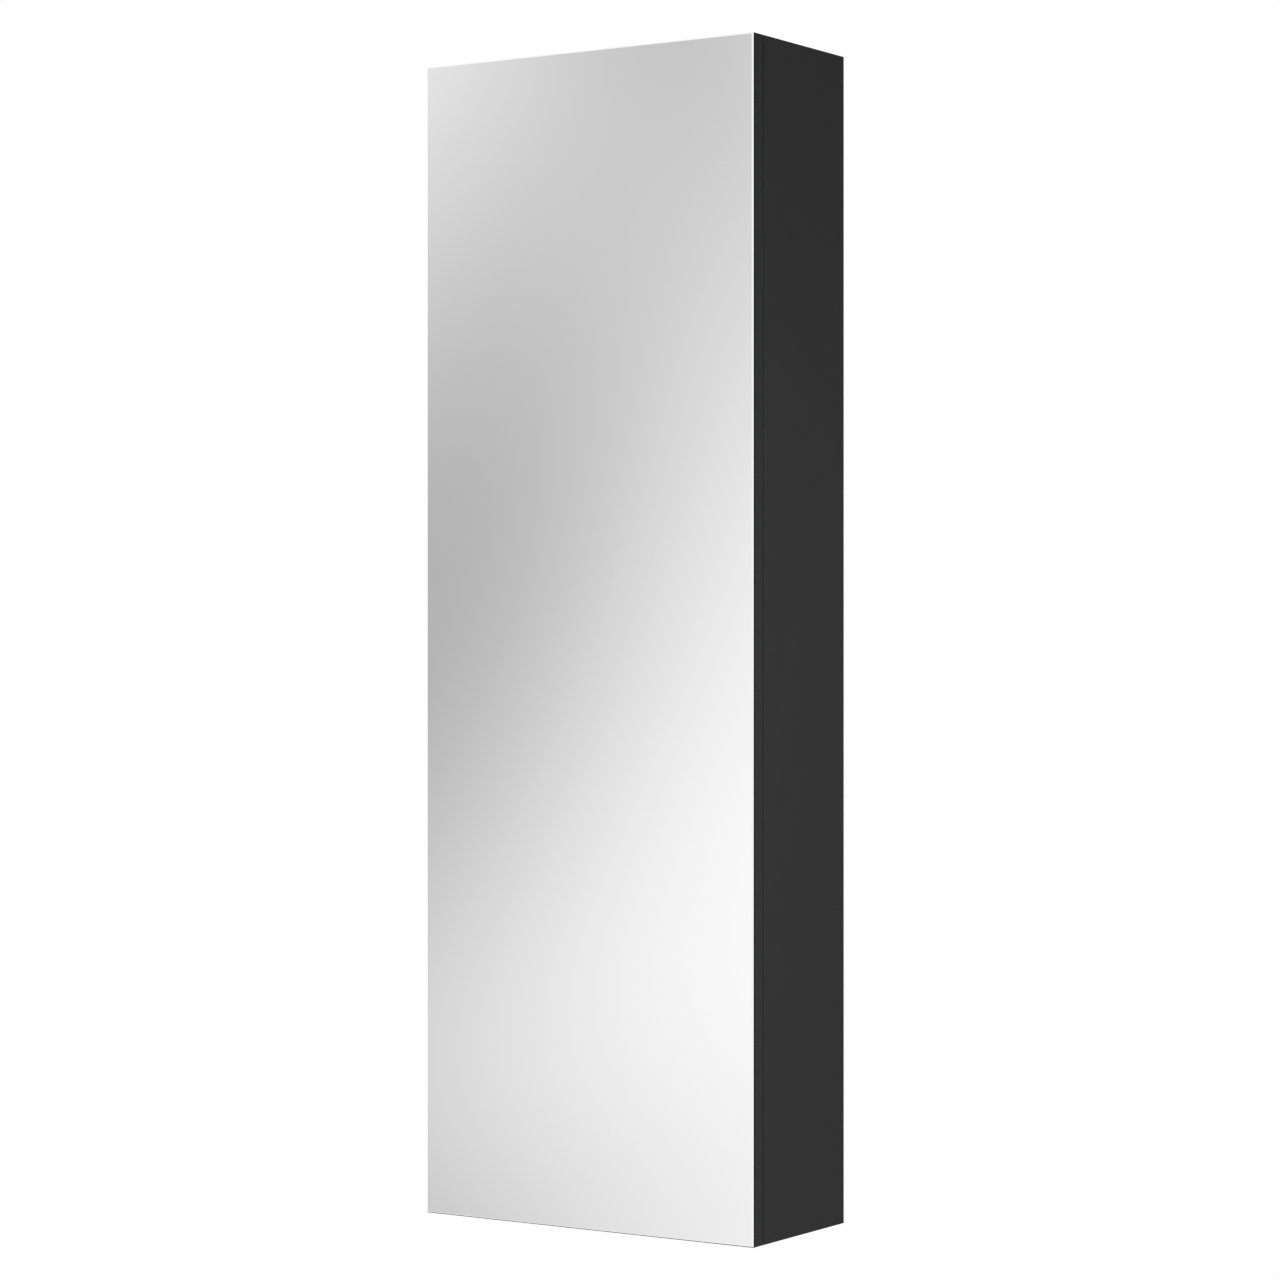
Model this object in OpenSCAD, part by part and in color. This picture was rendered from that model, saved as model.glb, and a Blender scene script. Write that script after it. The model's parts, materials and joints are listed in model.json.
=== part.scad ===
// Tall wall-hung mirror cabinet with one full-height mirror door.
// Millimetres, Z up, mirror towards -Y, wall plane at +Y, origin under the middle of the base.

/* [Cabinet] */
// Outside width
cab_w = 400; // [340:10:600]
// Outside height
cab_h = 1200; // [1100:10:1400]
// Depth from the wall to the mirror face
cab_d = 180; // [165:5:240]
// Thickness of the side, top and bottom boards
board_t = 16; // [15:0.5:19]
// Thickness of the back panel
back_t = 3; // [3:0.5:5]
// Space between the back panel and the wall
back_set = 18; // [17:1:26]
// Depth of the groove that holds the back panel
groove_d = 6; // [4:0.5:8]

/* [Door] */
// Gap between the shut door and the carcass
door_gap = 1.5; // [1.3:0.1:2]
// Thickness of the door board
door_t = 15; // [15:0.5:18]
// Thickness of the mirror glass
glass_t = 4; // [3:0.5:6]
// Thickness of the adhesive layer behind the glass
tape_t = 0.5; // [0.4:0.1:1]
// Width of the polished bevel round the mirror
arris = 1.4; // [0.5:0.1:2]
// How far the adhesive layer stays in from the door edge
tape_in = 4; // [2:0.5:12]

/* [Shelves] */
// Thickness of the glass shelves
shelf_t = 5; // [4:0.5:8]
// Gap between a shelf and each side board
shelf_gap = 1.5; // [1.2:0.1:3]
// Distance from the carcass front edge to the shelf front
shelf_back_off = 14; // [8:1:30]
// Corner radius of a shelf
shelf_r = 5; // [2:0.5:12]
// Spacing of the shelf pin holes
row_pitch = 32; // [25:1:40]
// Height of the lowest pin hole above the base
row_start = 104; // [80:1:120]
// Diameter of the shelf pins
pin_d = 5; // [4:0.5:6]
// Length of a shelf pin inside the board
pin_l = 8; // [6:0.5:10]
// Distance from the front edge to the first row of pins
pin_in = 34; // [26:1:44]

/* [Joinery] */
// Diameter of the cam nuts
cam_d = 15; // [12:0.5:18]
// Distance from the side board to the cam centre
cam_in = 24; // [20:1:34]
// Diameter of the cam bolt shank
bolt_d = 6; // [5:0.5:7]
// Length of the bolt thread inside the side board
bolt_l = 11; // [9:0.5:12]
// Diameter of the wood dowels
dowel_d = 8; // [6:0.5:10]
// Length of the wood dowels
dowel_l = 30; // [24:1:36]

/* [Hinges] */
// Distance from each end of the door to the outer hinges
hinge_end = 100; // [70:5:150]
// Diameter of the hinge cup
cup_d = 35; // [34:0.5:38]
// Depth of the cup hole in the door
cup_depth = 12.5; // [12.3:0.1:13]
// Distance from the door edge to the cup hole
cup_edge = 5; // [4.5:0.1:6]
// Thickness of the cup flange
flange_t = 1; // [0.8:0.1:1.1]
// Diameter of the hinge pins
hinge_pin_d = 2; // [1.6:0.1:2.2]
// Thickness of the outer link plates
link_t = 1.4; // [1:0.1:1.6]
// Width of the inner link along the pin
lever_w = 6.4; // [5:0.2:7]
// Thickness of the arm's sheet
arm_t = 1.4; // [1:0.1:1.8]
// Length of the hinge arm behind the carcass front edge
arm_l = 62; // [58:1:70]
// Distance from the front edge to the plate screws
plate_in = 37; // [36:0.5:40]
// Spacing of the two plate screws
plate_pitch = 32; // [28:1:40]

/* [Push latch] */
// Outside diameter of the latch plunger
plunger_d = 8; // [6:0.5:9]
// Length of the plunger
plunger_l = 46; // [40:1:60]
// Length of the latch housing
latch_l = 76; // [72:1:90]
// Width and height of the latch housing
latch_w = 13; // [12:0.5:16]

/* [Wall hangers] */
// Thickness of the hanger body
hanger_w = 13; // [12:0.5:18]
// Length of the hanger body
hanger_l = 58; // [54:1:70]
// Height of the hanger body
hanger_h = 40; // [38:1:50]
// Space between the hanger and the top board
hanger_top = 8; // [6:1:20]
// Thickness of the hook
hook_t = 3; // [2.5:0.5:4]
// Height of the hook's arm
hook_h = 12; // [10:0.5:12.5]
// Height of the wall plate
plate_h = 54; // [50:1:60]
// Width of the wall plate
plate_w = 35; // [32:1:42]
// Thickness of the wall plate
plate_t = 2; // [1.5:0.5:3]
// Diameter of the wall screw holes
screw_hole = 5.5; // [4.5:0.5:6]
// Vertical spacing of the wall screw holes
screw_pitch = 32; // [28:1:36]

/* [Hidden] */

$fn = 64;
// Overshoot of a cutter past the face it opens
over = 0.5;
// Radial clearance of a fixed pin, screw or dowel in its hole
seat = 0.05;
// Radial clearance of a hinge pin in its link
run = 0.06;
// Air past the tip of a screw, bolt or dowel in a blind hole
tip = 0.5;

// Screws, the same in every fitting
screw_d = 4;
screw_l = 10;
screw_head_d = 7.6;
screw_head_h = 2;
// Hole that a screw passes through freely
pass_d = screw_d + 0.4;

// Cabinet planes
x_l = -cab_w / 2;
x_r = cab_w / 2;
y_f = -cab_d / 2;
y_w = cab_d / 2;
y_tape = y_f + glass_t;
y_board = y_tape + tape_t;
y_b = y_board + door_t;
y_c = y_b + door_gap;
in_l = x_l + board_t;
in_r = x_r - board_t;
in_w = in_r - in_l;
in_t = cab_h - board_t;
in_h = in_t - board_t;
back_y = y_w - back_set - back_t;
// Clearance of the back panel at its faces and at its edges in the groove
groove_fit = 0.1;
groove_end = 0.5;

// Colours
board_c = [0.2, 0.2, 0.2];
mirror_c = [0.86, 0.88, 0.88];
glass_c = [0.8, 0.92, 0.88, 0.4];
steel_c = [0.72, 0.72, 0.7];
dark_steel_c = [0.4, 0.4, 0.4];
plastic_c = [0.3, 0.3, 0.3];
wood_c = [0.8, 0.65, 0.45];
clear_c = [0.9, 0.9, 0.9, 0.6];

// A cylinder through a side board's inner face, s is -1 left or 1 right
// It goes out into the board and back into the room
module side_rod(s, y, z, d, out, back = 0) {
  translate([s * (in_r - back), y, z])
    rotate([0, s * 90, 0])
      cylinder(d = d, h = out + back);
}

// A cylinder along -Y that starts at y and runs towards the mirror
module rod_front(x, y, z, d, l) {
  translate([x, y, z])
    rotate([90, 0, 0])
      cylinder(d = d, h = l);
}

// Cutter of a cross recess with its mouth in the plane z = 0; size is a slot's length, width and depth
module cross_cut(size) {
  for (a = [0, 90])
    rotate(a)
      translate([-size[0] / 2, -size[1] / 2, -over])
        cube([size[0], size[1], size[2] + over]);
}

// A straight bar with round ends between two points in the plan
module bar(p, q, w) {
  v = q - p;
  translate(p)
    rotate(atan2(v[1], v[0]))
      translate([0, -w / 2])
        square([norm(v), w]);
  translate(p) circle(d = w);
  translate(q) circle(d = w);
}

// A plate with round corners in the plan
module round_rect(w, d, r) {
  translate([r, 0]) square([w - 2 * r, d]);
  translate([0, r]) square([w, d - 2 * r]);
  for (x = [r, w - r], y = [r, d - r])
    translate([x, y]) circle(r = r);
}

// Carcass boards and joinery

// Bolts and dowels keep these distances from the board's front edge and from the back panel
bolt_edge = 36;
dowel_edge = 12;
bolt_ys = [y_c + bolt_edge, back_y - bolt_edge];
dowel_ys = [y_c + dowel_edge, back_y - dowel_edge];
dowel_out = 10;
thread_depth = 0.5;
thread_d = bolt_d - 2 * thread_depth;
bolt_air = 1;
bolt_bore_d = bolt_d + 2 * bolt_air;
// Board left under a cam nut and its cap
cam_floor = 3.2;
cam_cap_t = 0.8;
cam_h = board_t - cam_floor - cam_cap_t;
cam_cross = [cam_d / 2, 1.4, 1.4];
// Neck and round head of a cam bolt
neck_d = 4;
head_d = 6.6;
head_l = 3;
head_air = 0.3;

module side_board(s) {
  difference() {
    translate([s > 0 ? in_r : x_l, y_c, 0])
      cube([board_t, y_w - y_c, cab_h]);
    translate([s > 0 ? in_r - over : in_l - groove_d, back_y - groove_fit, board_t - groove_d])
      cube([groove_d + over, back_t + 2 * groove_fit, in_h + 2 * groove_d]);
    for (z = [board_t / 2, cab_h - board_t / 2]) {
      for (y = bolt_ys)
        side_rod(s, y, z, thread_d + 2 * seat, bolt_l + tip, over);
      for (y = dowel_ys)
        side_rod(s, y, z, dowel_d + 2 * seat, dowel_out + tip, over);
    }
    for (k = [1:shelf_count], spare = [-1:1], y = pin_ys)
      side_rod(s, y, pin_z(k) + spare * row_pitch, pin_d + 2 * seat, pin_l + 2 * tip, over);
    for (p = hanger_screw_at)
      side_rod(s, p[0], p[1], screw_d + 2 * seat, screw_l + tip, over);
    if (s < 0)
      for (zh = hinge_zs, dz = [-1, 1])
        side_rod(s, y_c + plate_in, zh + dz * plate_pitch / 2, screw_d + 2 * seat, screw_l + tip, over);
    if (s > 0)
      for (y = latch_screw_ys)
        side_rod(s, y, latch_z, screw_d + 2 * seat, screw_l + tip, over);
  }
}

module side_panel_left() {
  color(board_c) side_board(-1);
}

module side_panel_right() {
  color(board_c) side_board(1);
}

// The board between the sides; up is 1 for the top board and -1 for the bottom one
module cross_board(up) {
  z0 = up > 0 ? in_t : 0;
  z_mid = z0 + board_t / 2;
  z_in = up > 0 ? in_t : board_t;
  z_out = up > 0 ? cab_h : 0;
  difference() {
    translate([in_l, y_c, z0])
      cube([in_w, y_w - y_c, board_t]);
    translate([in_l - over, back_y - groove_fit, up > 0 ? z_in - over : z_in - groove_d])
      cube([in_w + 2 * over, back_t + 2 * groove_fit, groove_d + over]);
    for (s = [-1, 1]) {
      for (y = bolt_ys) {
        translate([s * (in_r + over), y, z_mid])
          rotate([0, -s * 90, 0])
            cylinder(d = bolt_bore_d, h = cam_in + over);
        translate([s * (in_r - cam_in), y, z_out + up * over])
          rotate([up > 0 ? 180 : 0, 0, 0])
            cylinder(d = cam_d + 2 * seat, h = cam_h + cam_cap_t + over);
      }
      for (y = dowel_ys)
        translate([s * (in_r + over), y, z_mid])
          rotate([0, -s * 90, 0])
            cylinder(d = dowel_d + 2 * seat, h = dowel_l - dowel_out + tip + over);
    }
  }
}

module top_panel() {
  color(board_c) cross_board(1);
}

module bottom_panel() {
  color(board_c) cross_board(-1);
}

module back_panel() {
  edge = groove_d - groove_end;
  color(board_c)
    difference() {
      translate([in_l - edge, back_y, board_t - edge])
        cube([in_w + 2 * edge, back_t, in_h + 2 * edge]);
      for (s = [-1, 1])
        translate([s * hook_x - hook_t / 2 - hook_room, back_y - over, hook_z - hook_room])
          cube([hook_t + 2 * hook_room, back_t + 2 * over, hook_h + 2 * hook_room]);
    }
}

module wood_dowels() {
  color(wood_c)
    for (s = [-1, 1], z = [board_t / 2, cab_h - board_t / 2], y = dowel_ys)
      side_rod(s, y, z, dowel_d, dowel_out, dowel_l - dowel_out);
}

// Turned bolt with a threaded end, a collar shank, a neck and a round head in the cam
module cam_bolts() {
  shank = cam_in - cam_d / 2 - tip;
  color(steel_c)
    for (s = [-1, 1], z = [board_t / 2, cab_h - board_t / 2], y = bolt_ys)
      translate([s * in_r, y, z])
        rotate([0, -s * 90, 0]) {
          translate([0, 0, -bolt_l])
            cylinder(d = thread_d, h = bolt_l);
          cylinder(d = bolt_d, h = shank);
          translate([0, 0, shank])
            cylinder(d = neck_d, h = cam_in - shank - head_l / 2);
          translate([0, 0, cam_in - head_l / 2])
            cylinder(d = head_d, h = head_l);
        }
}

module cam_nuts() {
  color(dark_steel_c)
    for (s = [-1, 1], up = [-1, 1], y = bolt_ys)
      translate([s * (in_r - cam_in), y, up > 0 ? cab_h - cam_cap_t : cam_cap_t])
        rotate([up > 0 ? 180 : 0, 0, 0])
          difference() {
            cylinder(d = cam_d, h = cam_h);
            translate([0, 0, board_t / 2 - cam_cap_t])
              rotate([0, s * 90, 0])
                cylinder(d = neck_d + 2 * tip, h = cam_d);
            translate([-s * head_l, 0, board_t / 2 - cam_cap_t])
              rotate([0, s * 90, 0])
                cylinder(d = head_d + 2 * head_air, h = 2 * head_l);
            cross_cut(cam_cross);
          }
}

module cam_caps() {
  color(plastic_c)
    for (s = [-1, 1], up = [-1, 1], y = bolt_ys)
      translate([s * (in_r - cam_in), y, up > 0 ? cab_h - cam_cap_t : 0])
        cylinder(d = cam_d, h = cam_cap_t);
}

// Shelves

shelf_count = 4;
shelf_rear_gap = 2;
shelf_d = back_y - y_c - shelf_back_off - shelf_rear_gap;
pin_ys = [y_c + pin_in, back_y - pin_in];
// Flange against the board, and peg with a flat that lies above the pin's axis
flange_w = 1;
flange_d = 8.5;
peg_d = 7;
peg_l = 7.5;
peg_flat = 1.5;

// Height of the pin hole under shelf k, on the row of holes
function pin_z(k) =
  row_start + row_pitch * round((k * in_h / (shelf_count + 1) + board_t - row_start) / row_pitch);

module glass_shelf(k) {
  color(glass_c)
    translate([in_l + shelf_gap, y_c + shelf_back_off, pin_z(k) + peg_flat])
      linear_extrude(shelf_t)
        round_rect(in_w - 2 * shelf_gap, shelf_d, shelf_r);
}

module glass_shelf_1() {
  glass_shelf(1);
}

module glass_shelf_2() {
  glass_shelf(2);
}

module glass_shelf_3() {
  glass_shelf(3);
}

module glass_shelf_4() {
  glass_shelf(4);
}

module shelf_support(s, y, z) {
  side_rod(s, y, z, pin_d, pin_l);
  side_rod(s, y, z, flange_d, 0, flange_w);
  difference() {
    translate([s * (in_r - flange_w), y, z])
      rotate([0, -s * 90, 0])
        cylinder(d = peg_d, h = peg_l);
    translate([s * in_r - flange_w - peg_l - over, y - peg_d, z + peg_flat])
      cube([2 * (flange_w + peg_l + over), 2 * peg_d, peg_d]);
  }
}

module shelf_supports() {
  color(steel_c)
    for (k = [1:shelf_count], s = [-1, 1], y = pin_ys)
      shelf_support(s, y, pin_z(k));
}

// Door

module door_panel() {
  color(board_c)
    difference() {
      translate([x_l, y_board, 0])
        cube([cab_w, door_t, cab_h]);
      for (zh = hinge_zs) {
        rod_front(cup_x, y_b + over, zh, cup_d, cup_depth + over);
        for (dz = [-1, 1])
          rod_front(cup_x + ear_x, y_b + over, zh + dz * ear_z, screw_d + 2 * seat, screw_l + tip + over);
      }
      rod_front(strike_x, y_b + over, latch_z, screw_d + 2 * seat, screw_l + tip + over);
    }
}

// The outline of the glass seen from above or from the side, with the front corners bevelled
module bevel_outline(w) {
  polygon([[arris, 0], [w - arris, 0], [w, arris], [w, glass_t], [0, glass_t], [0, arris]]);
}

module mirror_glass() {
  color(mirror_c)
    intersection() {
      translate([x_l, y_f, 0])
        linear_extrude(cab_h)
          bevel_outline(cab_w);
      translate([x_r, y_f, 0])
        rotate([0, -90, 0])
          linear_extrude(cab_w)
            bevel_outline(cab_h);
    }
}

module mirror_adhesive() {
  color(plastic_c)
    translate([x_l + tape_in, y_tape, tape_in])
      cube([cab_w - 2 * tape_in, tape_t, cab_h - 2 * tape_in]);
}

// Air that the bumpers and the strike plate leave in front of the shut cabinet
rest_gap = 0.3;
bumper_d = 8;
bumper_t = door_gap - rest_gap;

module door_bumpers() {
  color(clear_c)
    for (z = [board_t / 2, cab_h - board_t / 2])
      translate([x_r - board_t / 2, y_b + bumper_t, z])
        rotate([90, 0, 0])
          cylinder(d = bumper_d, h = bumper_t);
}

// Concealed hinges, one pivot plan at each height

hinge_zs = [hinge_end, cab_h / 2, cab_h - hinge_end];
cup_x = x_l + cup_edge + cup_d / 2;
cup_wall = 0.8;
// Air under the cup, and how far its flange covers the rim of the hole
cup_air = 0.2;
flange_out = 1.5;
// Ears of the flange with their screws
ear_x = 9.5;
ear_z = 22.5;
ear_d = 11;
ear_head_h = 1.4;
// Side gap between lever, link plates and arm, and between link plates and cup
link_gap = 0.6;
pocket_gap = 0.5;
link_in = lever_w / 2 + link_gap;
pocket_w = 2 * (link_in + link_t + pocket_gap);
// Depth to which a cup pin's ends are held, and the air past them
pin_hold = 2;
pin_air = 0.2;

// Pivots in the plan: A and B on the arm, from the side board's front inner edge
// C and D in the cup, from its axis on the door's back
pa = [in_l, y_c] + [10.5, 5.2];
pb = [in_l, y_c] + [18.3, 9.8];
pc = [cup_x, y_b] - [13.5, 3.5];
pd = [cup_x, y_b] - [6.3, 9.3];
// Elbows of the outer and inner links
pe = pc + [4.8, -3.4];
pf = pd + [14.3, 1.3];
// Travel of pin B in the slot of the inner link, which is centred on the pin's slightly curved path
slot_run = 11.4;
slot_turn = 79.9;
slot_air = 0.2;
slot_shift = [-0.2, 0.03];
slot_w = hinge_pin_d + 2 * (slot_air + run);
ps = pb + slot_shift;
pt = ps + slot_run * [cos(slot_turn), sin(slot_turn)];
// Widths of the links and walls round their pins
outer_w = 3;
inner_w = 3.2;
slot_wall = 0.95;
slot_bar_w = slot_w + 2 * slot_wall;
eye_wall = 0.9;
eye_d = hinge_pin_d + 2 * eye_wall;
// Bridge that joins the two plates of the outer link, just inside their edge
bridge_from = 4.5;
bridge_l = 8;
bridge_t = 1.2;
bridge_inset = 0.1;

module hinge_cup(zh) {
  color(steel_c)
    difference() {
      union() {
        rod_front(cup_x, y_b + flange_t, zh, cup_d - 2 * seat, cup_depth - cup_air + flange_t);
        translate([0, y_b, zh])
          rotate([90, 0, 0])
            translate([0, 0, -flange_t])
              linear_extrude(flange_t) {
                translate([cup_x, 0]) circle(d = cup_d + 2 * flange_out);
                bar([cup_x + ear_x, -ear_z], [cup_x + ear_x, ear_z], ear_d);
              }
      }
      // Pocket that the links fold into
      intersection() {
        rod_front(cup_x, y_b + flange_t + over, zh, cup_d - 2 * cup_wall,
          cup_depth - cup_air - cup_wall + flange_t + over);
        translate([cup_x - cup_d, y_b - cup_depth, zh - pocket_w / 2])
          cube([2 * cup_d, cup_depth + flange_t + over, pocket_w]);
      }
      // Notch in the flange where the links turn round the door edge
      translate([cup_x - cup_d, y_b, zh - pocket_w / 2])
        cube([cup_d, flange_t + over, pocket_w]);
      for (p = [pc, pd])
        translate([p[0], p[1], zh - pocket_w / 2 - pin_hold - pin_air])
          cylinder(d = hinge_pin_d + 2 * seat, h = pocket_w + 2 * (pin_hold + pin_air), $fn = 32);
      for (dz = [-1, 1])
        rod_front(cup_x + ear_x, y_b + flange_t + over, zh + dz * ear_z, pass_d, flange_t + 2 * over);
    }
}

module hinge_cup_1() {
  hinge_cup(hinge_zs[0]);
}

module hinge_cup_2() {
  hinge_cup(hinge_zs[1]);
}

module hinge_cup_3() {
  hinge_cup(hinge_zs[2]);
}

module hinge_cup_screws() {
  color(steel_c)
    for (zh = hinge_zs, dz = [-1, 1]) {
      rod_front(cup_x + ear_x, y_b + flange_t, zh + dz * ear_z, screw_d, screw_l);
      rod_front(cup_x + ear_x, y_b + flange_t + ear_head_h, zh + dz * ear_z, screw_head_d, ear_head_h);
    }
}

module hinge_cup_pins() {
  color(dark_steel_c)
    for (zh = hinge_zs, p = [pc, pd])
      translate([p[0], p[1], zh - pocket_w / 2 - pin_hold])
        cylinder(d = hinge_pin_d, h = pocket_w + 2 * pin_hold, $fn = 32);
}

// Goose-neck link of two plates and a bridge, from arm pin A round the door edge to cup pin C
module outer_link(zh) {
  v = pe - pa;
  color(steel_c) {
    for (z = [-link_in - link_t, link_in])
      translate([0, 0, zh + z])
        linear_extrude(link_t)
          difference() {
            union() {
              bar(pa, pe, outer_w);
              bar(pe, pc, outer_w);
            }
            for (p = [pa, pc])
              translate(p) circle(d = hinge_pin_d + 2 * run, $fn = 32);
          }
    translate([0, 0, zh - link_in - link_t / 2])
      linear_extrude(2 * link_in + link_t)
        translate(pa)
          rotate(atan2(v[1], v[0]))
            translate([bridge_from, -outer_w / 2 + bridge_inset])
              square([bridge_l, bridge_t]);
  }
}

module outer_link_1() {
  outer_link(hinge_zs[0]);
}

module outer_link_2() {
  outer_link(hinge_zs[1]);
}

module outer_link_3() {
  outer_link(hinge_zs[2]);
}

// Lever from cup pin D to arm pin B, with a slot at B
module inner_link(zh) {
  color(steel_c)
    translate([0, 0, zh - lever_w / 2])
      linear_extrude(lever_w)
        difference() {
          union() {
            translate(pd) circle(d = eye_d);
            bar(pd, pf, inner_w);
            bar(pf, ps, inner_w);
            bar(ps, pt, slot_bar_w);
          }
          translate(pd) circle(d = hinge_pin_d + 2 * run, $fn = 32);
          bar(ps, pt, slot_w, $fn = 32);
        }
}

module inner_link_1() {
  inner_link(hinge_zs[0]);
}

module inner_link_2() {
  inner_link(hinge_zs[1]);
}

module inner_link_3() {
  inner_link(hinge_zs[2]);
}

// Channel-shaped arm: two cheeks that carry pins A and B, and a web on the room side
arm_in = link_in + link_t + link_gap;
cheek_edge = 2.4;
arm_y0 = pa[1] - cheek_edge;
arm_y1 = y_c + arm_l;
arm_x0 = pa[0] - cheek_edge;
arm_x1 = pt[0] + slot_bar_w / 2 + link_gap;
// Cut-off corners of the cheeks, and the end that slopes down behind the rail
nose = 2;
tail = 3;
rail_h = 14;
rail_top = in_l + rail_h;
rail_in = 29;
rail_y0 = y_c + rail_in;
rail_y1 = arm_y1 - tail;
adjust_at = [34, 52];
adjust_ys = [for (a = adjust_at) y_c + a];
adjust_d = 5;
adjust_play = 0.2;
adjust_cross = [3.4, 0.8, 1.2];
adjust_sunk = 3;
adjust_proud = 0.6;
adjust_x0 = rail_top - adjust_sunk;
// Collar under the web, low enough to clear its slope
collar_out = 1.5;
collar_d = adjust_d + 2 * collar_out;
collar_h = 1.6;
collar_drop = 3.8;

module arm_outline() {
  polygon([[arm_x0, arm_y0 + nose], [arm_x0 + nose, arm_y0], [arm_x1 - nose, arm_y0],
    [arm_x1 + arm_t, arm_y0 + 3 * nose], [arm_x1 + arm_t, rail_y0], [arm_x1 - nose, arm_y1 - tail],
    [arm_x1 - nose - tail, arm_y1], [arm_x0 + 2 * nose, arm_y1], [arm_x0, rail_y0]]);
}

module hinge_arm(zh) {
  color(steel_c)
    difference() {
      translate([0, 0, zh - arm_in - arm_t])
        linear_extrude(2 * (arm_in + arm_t))
          arm_outline();
      translate([0, 0, zh - arm_in])
        linear_extrude(2 * arm_in)
          polygon([[arm_x0 - over, arm_y0 - over], [arm_x1, arm_y0 - over], [arm_x1, rail_y0],
            [arm_x1 - nose - arm_t, arm_y1 - tail], [arm_x1 - nose - arm_t, arm_y1 + over],
            [arm_x0 - over, arm_y1 + over]]);
      for (p = [pa, pb])
        translate([p[0], p[1], zh - arm_in - arm_t - over])
          cylinder(d = hinge_pin_d + 2 * seat, h = 2 * (arm_in + arm_t + over), $fn = 32);
      for (y = adjust_ys)
        translate([arm_x1 - nose - 2 * arm_t, y, zh])
          rotate([0, 90, 0])
            cylinder(d = adjust_d + 2 * adjust_play, h = nose + 3 * arm_t + over, $fn = 32);
    }
}

module hinge_arm_1() {
  hinge_arm(hinge_zs[0]);
}

module hinge_arm_2() {
  hinge_arm(hinge_zs[1]);
}

module hinge_arm_3() {
  hinge_arm(hinge_zs[2]);
}

module hinge_arm_pins() {
  reach = arm_in + arm_t + pin_air;
  color(dark_steel_c)
    for (zh = hinge_zs, p = [pa, pb])
      translate([p[0], p[1], zh - reach])
        cylinder(d = hinge_pin_d, h = 2 * reach, $fn = 32);
}

// Set screws that hold the arm on its plate, one for the side and one for the depth
module hinge_adjusters() {
  length = arm_x1 + arm_t + adjust_proud - adjust_x0;
  color(dark_steel_c)
    for (zh = hinge_zs, y = adjust_ys)
      translate([adjust_x0, y, zh])
        rotate([0, 90, 0])
          difference() {
            union() {
              cylinder(d = adjust_d, h = length, $fn = 32);
              translate([0, 0, arm_x1 - collar_drop - collar_h - adjust_x0])
                cylinder(d = collar_d, h = collar_h, $fn = 32);
            }
            translate([0, 0, length])
              mirror([0, 0, 1])
                cross_cut(adjust_cross);
          }
}

wing_w = 12;
wing_t = 3;
rail_air = 0.2;
rail_w = 2 * (arm_in - rail_air);

// Winged mounting plate with a raised rail for the arm
module hinge_plate(zh) {
  color(steel_c)
    difference() {
      union() {
        translate([in_l, y_c + plate_in, zh])
          rotate([0, 90, 0])
            linear_extrude(wing_t)
              bar([-plate_pitch / 2, 0], [plate_pitch / 2, 0], wing_w);
        translate([in_l, rail_y0, zh - rail_w / 2])
          cube([rail_top - in_l, rail_y1 - rail_y0, rail_w]);
      }
      for (dz = [-1, 1])
        translate([in_l - over, y_c + plate_in, zh + dz * plate_pitch / 2])
          rotate([0, 90, 0])
            cylinder(d = pass_d, h = wing_t + 2 * over, $fn = 32);
      for (y = adjust_ys)
        translate([adjust_x0 - tip, y, zh])
          rotate([0, 90, 0])
            cylinder(d = adjust_d + 2 * seat, h = adjust_sunk + tip + over, $fn = 32);
    }
}

module hinge_plate_1() {
  hinge_plate(hinge_zs[0]);
}

module hinge_plate_2() {
  hinge_plate(hinge_zs[1]);
}

module hinge_plate_3() {
  hinge_plate(hinge_zs[2]);
}

module hinge_plate_screws() {
  color(steel_c)
    for (zh = hinge_zs, dz = [-1, 1]) {
      side_rod(-1, y_c + plate_in, zh + dz * plate_pitch / 2, screw_d, screw_l, wing_t);
      translate([in_l + wing_t, y_c + plate_in, zh + dz * plate_pitch / 2])
        rotate([0, 90, 0])
          cylinder(d = screw_head_d, h = screw_head_h);
    }
}

// Push latch on the right side board

latch_z = cab_h / 2;
latch_x = in_r - latch_w / 2;
latch_set = 1;
latch_y0 = y_c + latch_set;
latch_y1 = latch_y0 + latch_l;
latch_end = 4;
latch_foot_t = 3;
latch_foot_l = 14;
latch_screw_ys = [latch_y1 + latch_foot_l / 2];
plunger_y0 = y_c;
plunger_run = 0.1;
spring_d = plunger_d - 1;
spring_wall = 0.9;
magnet_d = 5.4;
magnet_l = 5;
// Steel plate on the door, with a countersunk screw
strike_x = latch_x;
strike_d = 16;
strike_t = door_gap - rest_gap;
sink_d = 7;
sink_h = 0.6;
sink_air = 0.1;

module latch_housing() {
  color(plastic_c)
    difference() {
      union() {
        translate([latch_x, latch_y0, latch_z])
          rotate([-90, 0, 0])
            cylinder(d = latch_w, h = latch_l);
        translate([in_r - latch_w / 2, latch_y0, latch_z - latch_w / 2])
          cube([latch_w / 2, latch_l, latch_w]);
        translate([in_r - latch_foot_t, latch_y1 - over, latch_z - latch_w / 2])
          cube([latch_foot_t, latch_foot_l + over, latch_w]);
      }
      translate([latch_x, latch_y0 - over, latch_z])
        rotate([-90, 0, 0])
          cylinder(d = plunger_d + 2 * plunger_run, h = latch_l - latch_end + over);
      for (y = latch_screw_ys)
        side_rod(1, y, latch_z, pass_d, over, latch_foot_t + over);
    }
}

module latch_screws() {
  color(steel_c)
    for (y = latch_screw_ys) {
      side_rod(1, y, latch_z, screw_d, screw_l, latch_foot_t);
      side_rod(1, y, latch_z, screw_head_d, -latch_foot_t, latch_foot_t + screw_head_h);
    }
}

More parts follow.
